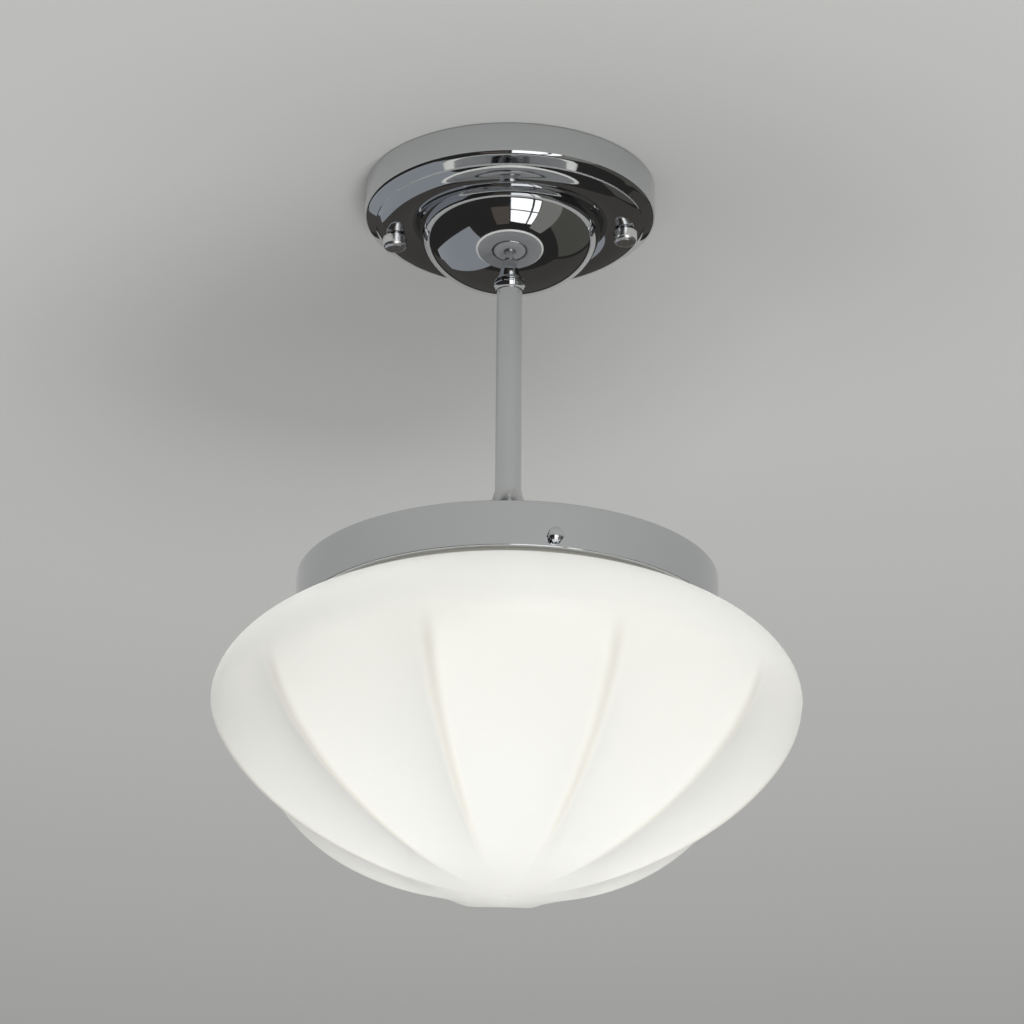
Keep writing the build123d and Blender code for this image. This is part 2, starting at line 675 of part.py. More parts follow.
def thread_sleeve():
    outer_r = SLEEVE_R + SLEEVE_T
    wall = ring(SLEEVE_R, outer_r, INSERT_LOW_Z, INSERT_LOW_Z - SLEEVE_H)
    return wall + ring(SLEEVE_EYE_R, outer_r, INSERT_LOW_Z, INSERT_LOW_Z - SLEEVE_T)


def spring_contact():
    half = SPRING_L / 2
    low = INSERT_LOW_Z - SPRING_DROP
    bent = Polyline(
        (-half, INSERT_LOW_Z), (half, INSERT_LOW_Z), (half, INSERT_LOW_Z - SPRING_T), (0, low),
        (-half / 2, low), (-half / 2, low + SPRING_T), (-SPRING_T, low + SPRING_T),
        (half - 2 * SPRING_T, INSERT_LOW_Z - SPRING_T), (-half, INSERT_LOW_Z - SPRING_T), close=True)
    return extrude(Plane.XZ * make_face(bent), SPRING_W / 2, both=True)


# Lamp
def lamp_tip():
    tip = disc(LAMP_TIP_R, LAMP_TOP_Z, LAMP_TOP_Z - LAMP_TIP_H)
    return fillet(tip.edges().group_by(Axis.Z)[-1], LAMP_TIP_H / 2)


def lamp_insulator():
    top = LAMP_TOP_Z - LAMP_TIP_H
    return polygon_turned((0, top), (LAMP_TIP_R + LAMP_TIP_LAND, top), (LAMP_CAP_R - LAMP_SHELL, LAMP_CAP_TOP_Z),
                          (0, LAMP_CAP_TOP_Z))


def lamp_cap():
    outer = disc(LAMP_CAP_R, LAMP_CAP_TOP_Z, LAMP_CAP_LOW_Z)
    outer = chamfer(outer.edges().group_by(Axis.Z)[-1], LAMP_SHELL)
    return outer - disc(LAMP_CAP_R - LAMP_SHELL, LAMP_CAP_TOP_Z - LAMP_SHELL, LAMP_CAP_LOW_Z)


def lamp_body():
    plug_r = LAMP_CAP_R - LAMP_SHELL - FIT
    plug_top = LAMP_CAP_LOW_Z + LAMP_PLUG_H
    neck_r = LAMP_CAP_R + PLAY
    neck_low = LAMP_CAP_LOW_Z - LAMP_NECK_H
    across, down = LAMP_FLARE
    middle = (neck_r + across * (LAMP_R - neck_r), neck_low + down * (LAMP_BODY_LOW_Z - neck_low))
    return turned(
        Polyline((LAMP_R, LAMP_BODY_LOW_Z), (0, LAMP_BODY_LOW_Z), (0, plug_top), (plug_r, plug_top),
                 (plug_r, LAMP_CAP_LOW_Z), (neck_r, LAMP_CAP_LOW_Z), (neck_r, neck_low)),
        ThreePointArc((neck_r, neck_low), middle, (LAMP_R, LAMP_BODY_LOW_Z)),
    )


def globe_filled(inset):
    """Globe of the lamp filled to the axis: a short upright wall and a round end."""
    radius = LAMP_R - inset
    depth = LAMP_R - inset
    mid_z = LAMP_BODY_LOW_Z - LAMP_GLOBE_H + LAMP_R
    return turned(
        Polyline((0, mid_z - depth), (0, LAMP_BODY_LOW_Z), (radius, LAMP_BODY_LOW_Z), (radius, mid_z)),
        CenterArc((0, mid_z), radius, 270, 90),
    )


def lamp_globe():
    return globe_filled(0) - globe_filled(LAMP_SHELL_GLOBE)


def save(name, *solids):
    """Writes one named node, as one solid or as a group of separate solids."""
    shape = solids[0] if len(solids) == 1 else Compound(children=list(solids))
    export_step(shape, "parts/" + name + ".step")


save("mounting_plate", mounting_plate())
save("cable_grommet", cable_grommet())
save("mounting_studs", stud(-STUD_X), stud(STUD_X))
stud_nuts = [hexagon_nut(M4_FLATS, SHANK_R + FIT, EAR_LOW_Z, M4_NUT_H, x) for x in (-STUD_X, STUD_X)]
save("stud_lock_nuts", *stud_nuts)
save("ceiling_rose", ceiling_rose())
for side_name, nut_x in (("left", -STUD_X), ("right", STUD_X)):
    save("rose_nut_" + side_name, rose_nut(nut_x))
    save("nut_washer_" + side_name, ring(SHANK_R + RUN, NUT_WASHER_R, BEAD_CROWN_Z, NUT_TOP_Z, nut_x))

save("earth_screw", earth_screw())
earth_washer_z = -PLATE_T - EARTH_EYE_H
save("earth_washer", ring(M4_R, EARTH_WASHER_R, earth_washer_z, earth_washer_z - EARTH_WASHER_H, 0, EARTH_Y))
save("earth_lead", earth_lead())
save("earth_tag", earth_tag())

save("terminal_block", terminal_block())
save("terminal_tubes", *terminal_tubes())
save("terminal_clamp_screws", *[clamp_screw(x, y) for x, y in clamp_places()])
save("terminal_block_screw", block_screw())
save("live_lead", mains_lead(1))
save("neutral_lead", mains_lead(-1))

save("rod_tube", rod_tube())
save("rod_top_washer", rod_washer(TOP_WASHER_Z + ROD_WASHER_H))
save("rod_top_locknut", hexagon_nut(LOCKNUT_FLATS, ROD_R + FIT, TOP_NUT_Z + LOCKNUT_H, LOCKNUT_H))
save("rod_top_collar", flared_collar(TOP_COLLAR_R, TOP_COLLAR_H, POLE_Z, False))
save("rod_lower_collar", flared_collar(LOW_COLLAR_R, LOW_COLLAR_H, BELL_TOP_Z, True))
save("rod_lower_washer", rod_washer(LOW_WASHER_Z))
save("rod_lower_locknut", hexagon_nut(LOCKNUT_FLATS, ROD_R + FIT, LOW_NUT_Z, LOCKNUT_H))

save("gallery", gallery())
save("screw_bosses", *[screw_boss(angle) for angle in screw_angles()])
for number, angle in enumerate(screw_angles(), start=1):
    save(f"thumb_screw_{number}", thumb_screw(angle))
    save(f"nylon_tip_{number}", nylon_tip(angle))
save("glass_shade", glass_shade())

save("holder_cap", holder_cap())
save("holder_insert", holder_insert())
save("holder_posts", holder_post(-POST_X), holder_post(POST_X))
save("holder_skirt", holder_skirt())
save("thread_sleeve", thread_sleeve())
save("spring_contact", spring_contact())

save("lamp_tip", lamp_tip())
save("lamp_insulator", lamp_insulator())
save("lamp_cap", lamp_cap())
save("lamp_body", lamp_body())
save("lamp_globe", lamp_globe())
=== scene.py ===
import json
from math import acos, asin, atan2, cos, degrees, exp, pi, radians, sin, sqrt, tan

import bpy
from mathutils import Matrix, Vector


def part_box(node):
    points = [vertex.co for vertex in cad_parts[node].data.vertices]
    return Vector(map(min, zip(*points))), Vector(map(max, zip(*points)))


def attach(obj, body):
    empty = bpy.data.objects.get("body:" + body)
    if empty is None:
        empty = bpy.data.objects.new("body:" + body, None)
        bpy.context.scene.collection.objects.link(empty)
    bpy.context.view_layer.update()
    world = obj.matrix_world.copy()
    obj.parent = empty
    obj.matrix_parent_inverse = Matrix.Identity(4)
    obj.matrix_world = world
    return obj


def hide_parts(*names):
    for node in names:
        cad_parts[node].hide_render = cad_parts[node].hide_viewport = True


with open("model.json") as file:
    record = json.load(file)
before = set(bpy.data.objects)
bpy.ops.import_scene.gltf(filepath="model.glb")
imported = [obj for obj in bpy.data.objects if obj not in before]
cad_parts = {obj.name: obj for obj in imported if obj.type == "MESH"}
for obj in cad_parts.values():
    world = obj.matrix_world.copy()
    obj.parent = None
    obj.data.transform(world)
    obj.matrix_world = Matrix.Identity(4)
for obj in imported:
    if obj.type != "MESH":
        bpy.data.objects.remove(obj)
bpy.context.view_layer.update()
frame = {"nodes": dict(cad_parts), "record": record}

# Sizes of the light in metres, the same as those of the solids
MM = 0.001
SHEET = 1.0 * MM
FIT = 0.05 * MM
EDGE = 0.25 * MM

# Rose and its nuts
ROSE_R = 56.7 * MM
ROSE_WALL = 12.3 * MM
ROSE_ROUND = 2.2 * MM
ROSE_LEAST_ROUND = 0.2 * MM
BEVEL_ANGLE = radians(30)
STEP_R = 52.3 * MM
BEAD_MID_R = 44.0 * MM
BEAD_CROWN_Z = -18.7 * MM
BEAD_RADIUS = 12.6 * MM
DOME_R = 35.3 * MM
DOME_FOOT = 0.6 * MM
DOME_DEPTH = 25.2 * MM
POLE_FLAT = 0.6 * MM
STUD_X = 45.0 * MM
HOLE_R = 2.4 * MM
NUT_CURVE = 2.0 * MM
NUT_BORE_R = 2.03 * MM
NUT_FLOOR = 1.0 * MM

# Rod and collars
ROD_R = 5.0 * MM
ROD_BORE_R = 3.75 * MM
ROD_EDGE = 0.3 * MM
COLLAR_EDGE = 0.9 * MM
COLLAR_WALL = 0.3 * MM
COLLAR_HOLLOW = 0.15

# Gallery and its screws
GALLERY_R = 79.5 * MM
GALLERY_LIP_R = 76.8 * MM
GALLERY_ROUND = 0.5 * MM
GALLERY_LEAST_ROUND = 0.05 * MM
BELL_R = 42.0 * MM
BELL_RISE = 27.0 * MM
BELL_FLAT = 0.8 * MM
SCREW_ANGLES = (16.3, 136.3, 256.3)
SHANK_R = 1.95 * MM
SHANK_START = 72.65 * MM
HEAD_R = 2.9 * MM
HEAD_LENGTH = 2.8 * MM
HEAD_GAP = 0.6 * MM
CROWN_R = 4.2 * MM
KNURL = 0.25 * MM
KNURL_EDGE = 0.06 * MM
KNURL_STRIPS = 40

# Shade
RIDGES = 10
RIDGE_TURN = radians(-11)
RIDGE_ROUND = radians(2.8)
RIDGE_HEIGHT = 0.11
SHADE_R = 110.0 * MM
SHADE_MID_Z = -215.0 * MM
SHADE_RISE = 44.0 * MM
SHADE_DROP = 74.0 * MM
SHADE_FULLNESS = 1.69
FLUTE_SHARE = 0.145
FLUTE_POWER = 0.9
FLUTE_START = 0.06
FLUTE_FADE = 0.42
LEAST_FLUTE = 1e-4
GLASS = 3.2 * MM
NECK_R = 70.3 * MM
LIP_R = 74.0 * MM
LIP_ROUND = 1.4 * MM
LIP_HEIGHT = 5.0 * MM
LIP_STEP = 0.6 * MM

# Fineness of the meshes
ROSE_STEPS = 256
GALLERY_STEPS = 288
ROD_STEPS = 96
NUT_STEPS = 64
HOLE_STEPS = 40
FLARE_STEPS = 12
CROWN_STEPS = 7
BOWL_STEPS = 61
BOWL_SPACING = 0.9
PANEL_STEPS = 30
MERGE_DISTANCE = 1e-6
SMOOTH_ANGLE = radians(32)
GLASS_SMOOTH_ANGLE = radians(60)

# Heights that the solids give
gallery_low, gallery_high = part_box("gallery")
shade_low, shade_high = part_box("glass_shade")
screw_low, screw_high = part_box("thumb_screw_1")
GALLERY_LOW_Z = gallery_low.z
BELL_TOP_Z = gallery_high.z
GALLERY_TOP_Z = BELL_TOP_Z + BELL_FLAT - BELL_RISE
LIP_TOP_Z = shade_high.z
POLE_Z = SHADE_MID_Z - SHADE_DROP
SCREW_Z = (screw_low.z + screw_high.z) / 2


# Modelling helpers
def deselect():
    bpy.ops.object.select_all(action="DESELECT")


def activate(piece):
    deselect()
    piece.select_set(True)
    bpy.context.view_layer.objects.active = piece


def apply_modifier(piece, modifier):
    activate(piece)
    bpy.ops.object.modifier_apply(modifier=modifier.name)


def smooth(piece, angle=SMOOTH_ANGLE):
    activate(piece)
    bpy.ops.object.shade_smooth_by_angle(angle=angle)
    return piece


def arc(mid, size, start, end, steps):
    """Points on an oval arc, as radius and height; the angles are in degrees."""
    points = []
    for k in range(steps + 1):
        angle = radians(start + (end - start) * k / steps)
        points.append((mid[0] + size[0] * cos(angle), mid[1] + size[1] * sin(angle)))
    return points


def line(first, last, steps):
    """Points on a straight run without its first point."""
    points = []
    for k in range(1, steps + 1):
        share = k / steps
        points.append((first[0] + share * (last[0] - first[0]), first[1] + share * (last[1] - first[1])))
    return points


def draw_profile(name, points):
    """Draws a profile of radius and height by extruding one corner from point to point, in edit mode."""
    deselect()
    bpy.ops.mesh.primitive_plane_add(size=SHEET)
    piece = bpy.context.object
    piece.name = name
    piece.data.name = name
    bpy.ops.object.mode_set(mode="EDIT")
    bpy.ops.mesh.select_all(action="SELECT")
    bpy.ops.mesh.merge(type="CENTER")
    bpy.ops.transform.translate(value=(points[0][0], 0, points[0][1]))
    for before, after in zip(points, points[1:]):
        move = (after[0] - before[0], 0, after[1] - before[1])
        bpy.ops.mesh.extrude_region_move(TRANSFORM_OT_translate={"value": move})
    return piece


def turned(name, points, steps, closed=True):
    """Piece turned on the Z axis from a profile; a closed profile gives a wall with thickness."""
    outline = points + points[:1] if closed else points
    piece = draw_profile(name, outline)
    bpy.ops.mesh.select_all(action="SELECT")
    bpy.ops.mesh.spin(steps=steps, angle=2 * pi, center=(0, 0, 0), axis=(0, 0, 1))
    bpy.ops.mesh.select_all(action="SELECT")
    bpy.ops.mesh.remove_doubles(threshold=MERGE_DISTANCE)
    bpy.ops.mesh.normals_make_consistent(inside=False)
    bpy.ops.object.mode_set(mode="OBJECT")
    return piece


def drill(piece, place, length, turn=None):
    """Cuts a hole for a stud or a screw along Z, or along Z turned by a matrix, at a place."""
    deselect()
    bpy.ops.mesh.primitive_cylinder_add(vertices=HOLE_STEPS, radius=HOLE_R, depth=length)
    cutter = bpy.context.object
    cutter.data.transform(Matrix.Translation(place) @ (turn or Matrix.Identity(4)))
    cut = piece.modifiers.new("hole", "BOOLEAN")
    cut.operation = "DIFFERENCE"
    cut.object = cutter
    apply_modifier(piece, cut)
    bpy.data.objects.remove(cutter)


def outwards(angle):
    """Turns a piece drawn along +Z so that it points outwards at an angle from -Y."""
    return Matrix.Rotation(radians(angle), 4, "Z") @ Matrix.Rotation(pi / 2, 4, "X")


# Shader helpers
def add_node(tree, kind, values=None, **settings):
    """Adds a node with its settings; each value is a constant or the output that feeds the input."""
    node = tree.nodes.new(kind)
    for name, value in settings.items():
        setattr(node, name, value)
    for socket, value in (values or {}).items():
        if isinstance(value, bpy.types.NodeSocket):
            tree.links.new(value, node.inputs[socket])
        else:
            node.inputs[socket].default_value = value
    return node


def maths(tree, operation, first, second):
    return add_node(tree, "ShaderNodeMath", {0: first, 1: second}, operation=operation).outputs["Value"]


def mix_colours(tree, share, first, second):
    values = {"Factor": share, "A": first, "B": second}
    return add_node(tree, "ShaderNodeMix", values, data_type="RGBA").outputs["Result"]


def ramp(tree, value, start, end, top=1.0, bottom=0.0, kind="SMOOTHSTEP"):
    """Goes from bottom to top while the value goes from start to end."""
    values = {"Value": value, "From Min": start, "From Max": end, "To Min": bottom, "To Max": top}
    return add_node(tree, "ShaderNodeMapRange", values, interpolation_type=kind).outputs["Result"]


def noise(tree, **values):
    """Noise over the piece; the values are those of the node's inputs."""
    place = add_node(tree, "ShaderNodeTexCoord").outputs["Object"]
    return add_node(tree, "ShaderNodeTexNoise", {"Vector": place, **values}).outputs["Fac"]


def object_place(tree):
    """Outputs X, Y and Z of the place on the piece."""
    place = add_node(tree, "ShaderNodeTexCoord").outputs["Object"]
    return add_node(tree, "ShaderNodeSeparateXYZ", {"Vector": place}).outputs


def new_group(name, inputs, outputs):
    """Empty node group; returns it with what its inputs put out and what its outputs take in."""
    group = bpy.data.node_groups.new(name, "ShaderNodeTree")
    for socket, kind, value in inputs:
        made = group.interface.new_socket(socket, in_out="INPUT", socket_type=kind)
        made.default_value = value
    for socket, kind in outputs:
        group.interface.new_socket(socket, in_out="OUTPUT", socket_type=kind)
    start = group.nodes.new("NodeGroupInput")
    end = group.nodes.new("NodeGroupOutput")
    return group, start.outputs, end.inputs


def make_marks_group():
    """Fine handling marks: a roughness between two limits, and a height for the bump."""
    inputs = [
        ("Scale", "NodeSocketFloat", 40.0),
        ("Low", "NodeSocketFloat", 0.05),
        ("High", "NodeSocketFloat", 0.1),
        ("Fine Scale", "NodeSocketFloat", 900.0),
    ]
    outputs = [("Roughness", "NodeSocketFloat"), ("Height", "NodeSocketFloat")]
    group, start, end = new_group("handling_marks", inputs, outputs)
    broad = noise(group, Scale=start["Scale"], Detail=5, Roughness=0.6)
    fine = noise(group, Scale=start["Fine Scale"], Detail=3)
    gloss = ramp(group, broad, start=0.35, end=0.7, top=start["High"], bottom=start["Low"], kind="LINEAR")
    group.links.new(gloss, end["Roughness"])
    group.links.new(fine, end["Height"])
    return group


def make_tone_group():
    """Slow drift between two tones of one colour."""
    inputs = [
        ("Scale", "NodeSocketFloat", 25.0),
        ("First", "NodeSocketColor", (0.8, 0.8, 0.8, 1)),
        ("Second", "NodeSocketColor", (0.7, 0.7, 0.7, 1)),
    ]
    group, start, end = new_group("tone_drift", inputs, [("Color", "NodeSocketColor")])
    cloud = noise(group, Scale=start["Scale"], Detail=4)
    group.links.new(mix_colours(group, cloud, start["First"], start["Second"]), end["Color"])
    return group


marks_group = make_marks_group()
tone_group = make_tone_group()
BUMP_HEIGHT = 0.05 * MM
SECOND_TONE = 0.93


def surface(name, first, second, tone_scale, low, high, mark_scale, bump, fine_scale=900.0):
    """Material with a drifting tone, a roughness from low to high and a fine bump; also gives its shader."""
    material = bpy.data.materials.new(name)
    material.use_nodes = True
    tree = material.node_tree
    shader = tree.nodes["Principled BSDF"]
    tone_values = {"Scale": tone_scale, "First": (*first, 1), "Second": (*second, 1)}
    tone = add_node(tree, "ShaderNodeGroup", tone_values, node_tree=tone_group)
    mark_values = {"Scale": mark_scale, "Low": low, "High": high, "Fine Scale": fine_scale}
    marks = add_node(tree, "ShaderNodeGroup", mark_values, node_tree=marks_group)
    bump_values = {"Strength": bump, "Distance": BUMP_HEIGHT, "Height": marks.outputs["Height"]}
    relief = add_node(tree, "ShaderNodeBump", bump_values)
    tree.links.new(tone.outputs["Color"], shader.inputs["Base Color"])
    tree.links.new(marks.outputs["Roughness"], shader.inputs["Roughness"])
    tree.links.new(relief.outputs["Normal"], shader.inputs["Normal"])
    return material, shader


def metal(name, first, second, **marks):
    material, shader = surface(name, first, second, **marks)
    shader.inputs["Metallic"].default_value = 1
    return material


# Materials of the light
def chrome_plate():
    bright = (0.62, 0.63, 0.645)
    dull = (0.585, 0.595, 0.61)
    return metal("chrome_plate", bright, dull, tone_scale=30, low=0.03, high=0.07, mark_scale=60, bump=0.01)


def satin_chrome(name, level):
    """Chrome of small turned pieces: the tool marks spread what it mirrors, and the level sets how light its
    colour is.
    """
    bright = (level, 1.005 * level, 1.01 * level)
    dull = tuple(SECOND_TONE * c for c in bright)
    return metal(name, bright, dull, tone_scale=140, low=0.2, high=0.3, mark_scale=120, bump=0.03)


def zinc_plate():
    bright = (0.62, 0.62, 0.6)
    dull = (0.5, 0.5, 0.49)
    return metal("zinc_plate", bright, dull, tone_scale=160, low=0.25, high=0.45, mark_scale=90, bump=0.15)


def plain_brass():
    bright = (0.78, 0.58, 0.26)
    dull = (0.66, 0.47, 0.2)
    return metal("plain_brass", bright, dull, tone_scale=120, low=0.2, high=0.4, mark_scale=80, bump=0.1)


def nickel_plate():
    bright = (0.72, 0.71, 0.68)
    dull = (0.64, 0.63, 0.6)
    return metal("nickel_plate", bright, dull, tone_scale=120, low=0.15, high=0.3, mark_scale=80, bump=0.08)


def ridge_painted_shade_mask(tree, x, y, height):
    """Painted shade along the ridges, which fades towards the widest ring and the pole."""
    turn = maths(tree, "ADD", maths(tree, "ARCTAN2", x, y), RIDGE_TURN)
    away = maths(tree, "PINGPONG", turn, pi / RIDGES)
    crest = ramp(tree, away, start=0.75 * RIDGE_ROUND, end=0, top=0.32)
    below_ring = ramp(tree, height, start=SHADE_MID_Z, end=SHADE_MID_Z - 0.2 * SHADE_DROP)
    above_pole = ramp(tree, height, start=POLE_Z, end=SHADE_MID_Z - 0.75 * SHADE_DROP)
    return maths(tree, "MULTIPLY", crest, maths(tree, "MULTIPLY", above_pole, below_ring))


def neck_light(tree, height):
    """Faint light at the neck, for what the glass scatters inside and a render of its skin leaves out."""
    start = SHADE_MID_Z + 0.62 * SHADE_RISE
    end = SHADE_MID_Z + 0.75 * SHADE_RISE
    return ramp(tree, height, start, end, top=0.12)


def opal_glass():
    """Satin opal glass, with painted light that makes it whiter towards the pole and painted shade that makes
    it a little greyer along the ridges.
    """
    warm_white = (0.93, 0.918, 0.86)
    cream = (0.93, 0.91, 0.825)
    pole_painted_light = (0.985, 0.965, 0.88, 1)
    ridge_painted_shade_colour = (0.5, 0.48, 0.43, 1)
    material, shader = surface("opal_glass", warm_white, cream, tone_scale=14, low=0.3, high=0.42,
                               mark_scale=40, bump=0.03, fine_scale=1500)
    tree = material.node_tree
    place = object_place(tree)
    tone = shader.inputs["Base Color"].links[0].from_socket
    # Painted light: the base colour turns whiter towards the pole, standing in for light from below.
    depth = ramp(tree, place["Z"], start=SHADE_MID_Z, end=POLE_Z, kind="LINEAR")
    body = mix_colours(tree, depth, tone, pole_painted_light)
    # Painted shade: a grey line along each ridge, set against the bright crests that the light gives there.
    painted_ridge_shade = ridge_painted_shade_mask(tree, place["X"], place["Y"], place["Z"])
    tree.links.new(mix_colours(tree, painted_ridge_shade, body, ridge_painted_shade_colour), shader.inputs["Base Color"])
    tree.links.new(neck_light(tree, place["Z"]), shader.inputs["Emission Strength"])
    shader.inputs["Emission Color"].default_value = (0.95, 0.93, 0.87, 1)
    shader.inputs["Subsurface Weight"].default_value = 0.7
    shader.inputs["Subsurface Radius"].default_value = (1.0, 1.0, 1.0)
    shader.inputs["Subsurface Scale"].default_value = 3 * MM
    shader.inputs["IOR"].default_value = 1.45
    return material


def moulded(name, colour, low, high):
    second = tuple(SECOND_TONE * c for c in colour)
    material, _ = surface(name, colour, second, tone_scale=60, low=low, high=high,
                          mark_scale=70, bump=0.12, fine_scale=1400)
    return material


def earth_insulation():
    """Green insulation with a yellow stripe along the lead."""
    green = (0.2, 0.42, 0.1)
    dark_green = (0.16, 0.36, 0.08)
    yellow = (0.75, 0.62, 0.06, 1)
    material, shader = surface("earth_insulation", green, dark_green, tone_scale=60, low=0.4, high=0.5,
                               mark_scale=70, bump=0.08)
    tree = material.node_tree
    tone = shader.inputs["Base Color"].links[0].from_socket
    stripe = maths(tree, "GREATER_THAN", object_place(tree)["X"], 0)
    tree.links.new(mix_colours(tree, stripe, tone, yellow), shader.inputs["Base Color"])
    return material


chrome = chrome_plate()
# Painted reflection: the nuts' chrome is painted much lighter than the plate chrome, standing in for the
# bright room that they mirror.
nut_chrome_painted_light = satin_chrome("nut_chrome_painted_light", level=0.86)
collar_chrome = satin_chrome("collar_chrome", level=0.68)
opal = opal_glass()
nylon = moulded("nylon", (0.78, 0.77, 0.72), low=0.4, high=0.5)
node_materials = {
    "chrome": chrome,
    "plated_steel": zinc_plate(),
    "brass": plain_brass(),
    "opal_glass": opal,
    "white_plastic": moulded("white_plastic", (0.82, 0.82, 0.79), low=0.4, high=0.55),
    "holder_plastic": moulded("holder_plastic", (0.84, 0.83, 0.8), low=0.2, high=0.3),
    "grommet_rubber": moulded("grommet_rubber", (0.03, 0.03, 0.03), low=0.6, high=0.75),
    "brown_insulation": moulded("brown_insulation", (0.16, 0.07, 0.035), low=0.4, high=0.5),
    "blue_insulation": moulded("blue_insulation", (0.04, 0.13, 0.42), low=0.4, high=0.5),
    "green_insulation": earth_insulation(),
    "lamp_cap_metal": nickel_plate(),
    "lamp_insulator": moulded("black_glass", (0.02, 0.02, 0.022), low=0.08, high=0.14),
}


# Pieces
def rose_side(inset):
    """Profile of the rose from its rim to the dome's pole, moved inwards by the inset."""
    wall_r = ROSE_R - inset
    step_r = STEP_R - inset
    foot_r = DOME_R - inset
    bead = BEAD_RADIUS - inset
    bead_mid_z = BEAD_CROWN_Z + BEAD_RADIUS
    crease_z = bead_mid_z - sqrt(BEAD_RADIUS**2 - (BEAD_MID_R - DOME_R) ** 2)
    dome_mid_z = crease_z - DOME_FOOT
    dome_depth = DOME_DEPTH - inset
    corner_z = -ROSE_WALL + inset * (1 / cos(BEVEL_ANGLE) - tan(BEVEL_ANGLE))
    step_z = corner_z - (wall_r - step_r) * tan(BEVEL_ANGLE)
    half = (pi / 2 - BEVEL_ANGLE) / 2
    round_r = max(ROSE_ROUND - inset, ROSE_LEAST_ROUND)
    reach = round_r * tan(half)
    round_mid = (wall_r - round_r, corner_z + reach)
    points = [(wall_r, 0)]
    points += line((wall_r, 0), (wall_r, corner_z + reach), steps=4)
    points += arc(round_mid, (round_r, round_r), 0, -degrees(2 * half), steps=8)[1:]
    points += line(points[-1], (step_r, step_z), steps=5)
    start = degrees(atan2(-sqrt(bead**2 - (step_r - BEAD_MID_R) ** 2), step_r - BEAD_MID_R))
    end = degrees(atan2(-sqrt(bead**2 - (foot_r - BEAD_MID_R) ** 2), foot_r - BEAD_MID_R))
    points += arc((BEAD_MID_R, bead_mid_z), (bead, bead), start, end, steps=26)
    points += line(points[-1], (foot_r, dome_mid_z), steps=2)
    pole = degrees(asin(1 - POLE_FLAT / dome_depth))
    points += arc((0, dome_mid_z), (foot_r, dome_depth), 0, -pole, steps=44)[1:]
    points.append((ROD_R, points[-1][1]))
    return points


def ceiling_rose():
    points = rose_side(0) + rose_side(SHEET)[::-1]
    piece = turned("rose_shell", points, ROSE_STEPS)
    for x in (-STUD_X, STUD_X):
        drill(piece, (x, 0, BEAD_CROWN_Z), length=8 * SHEET)
    return smooth(piece)


def gallery_side(inset):
    """Profile of the gallery from the bell's hole to its lower edge, moved inwards by the inset."""
    bell_r = BELL_R - inset
    wall_r = GALLERY_R - inset
    top_z = GALLERY_TOP_Z - inset
    rise = BELL_RISE - inset
    low_z = GALLERY_LOW_Z + inset
    above_screw_z = SCREW_Z + 1.3 * HEAD_R
    corner = max(GALLERY_ROUND - inset, GALLERY_LEAST_ROUND)
    flat = degrees(asin(1 - BELL_FLAT / rise))
    points = [(ROD_R, BELL_TOP_Z - inset)]
    points += arc((0, GALLERY_TOP_Z), (bell_r, rise), flat, 0, steps=30)
    points.append((bell_r, top_z))
    points += line(points[-1], (wall_r - corner, top_z), steps=6)
    points += arc((wall_r - corner, top_z - corner), (corner, corner), 90, 0, steps=6)[1:]
    points += line(points[-1], (wall_r, above_screw_z), steps=3)
    points += line(points[-1], (wall_r, low_z + corner), steps=6)
    points += arc((wall_r - corner, low_z + corner), (corner, corner), 0, -90, steps=6)[1:]
    points.append((GALLERY_LIP_R, low_z))
    return points


def gallery_shell():
    points = gallery_side(0) + gallery_side(SHEET)[::-1]
    piece = turned("gallery_shell", points, GALLERY_STEPS)
    for angle in SCREW_ANGLES:
        turn = outwards(angle)
        place = turn @ Vector((0, 0, GALLERY_R)) + Vector((0, 0, SCREW_Z))
        drill(piece, place, 6 * SHEET, turn)
    return smooth(piece)


def rod():
    """Straight tube with softened edges, as long as its node."""
    low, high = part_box("rod_tube")
    low_z = low.z + ROD_EDGE
    high_z = high.z - ROD_EDGE
    inner = ROD_BORE_R + ROD_EDGE
    outer = ROD_R - ROD_EDGE
    points = [(ROD_BORE_R, low_z), (inner, low.z), (outer, low.z), (ROD_R, low_z)]
    points += line(points[-1], (ROD_R, high_z), steps=24)
    points += [(outer, high.z), (inner, high.z), (ROD_BORE_R, high_z)]
    return smooth(turned("rod", points, ROD_STEPS))


def flared_collar(name, node, upwards):
    """Collar with a short straight edge on its seat and a hollow flare towards the rod."""
    low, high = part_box(node)
    way = 1 if upwards else -1
    seat_z, end_z = (low.z, high.z) if upwards else (high.z, low.z)
    wide_r = high.x
    bore = ROD_R + FIT
    end_r = bore + COLLAR_WALL
    edge_z = seat_z + way * COLLAR_EDGE
    points = [(bore, seat_z), (wide_r - EDGE, seat_z)]
    points += [(wide_r, seat_z + way * EDGE), (wide_r, edge_z - way * EDGE), (wide_r - EDGE, edge_z)]
    for k in range(1, FLARE_STEPS + 1):
        share = k / FLARE_STEPS
        hollow = COLLAR_HOLLOW * (wide_r - end_r) * 4 * share * (1 - share)
        points.append((wide_r + share * (end_r - wide_r) - hollow, edge_z + share * (end_z - edge_z)))
    points.append((bore, end_z))
    return smooth(turned(name, points, ROD_STEPS))


def bowl_width(share):
    """Width of the bowl at a share of its depth, as a share of its greatest width."""
    return (1 - share**SHADE_FULLNESS) ** (1 / SHADE_FULLNESS)


def panel_radius(ridge_r, depth, angle):
    """Radius of a hollow panel at an angle from its middle: one arc between two ridges."""
    half = pi / RIDGES
    mid_r = ridge_r * (1 - depth)
    centre = (ridge_r**2 - mid_r**2) / (2 * (ridge_r * cos(half) - mid_r))
    root = sqrt((centre - mid_r) ** 2 - (centre * sin(angle)) ** 2)
    return centre * cos(angle) - root if centre > mid_r else centre * cos(angle) + root


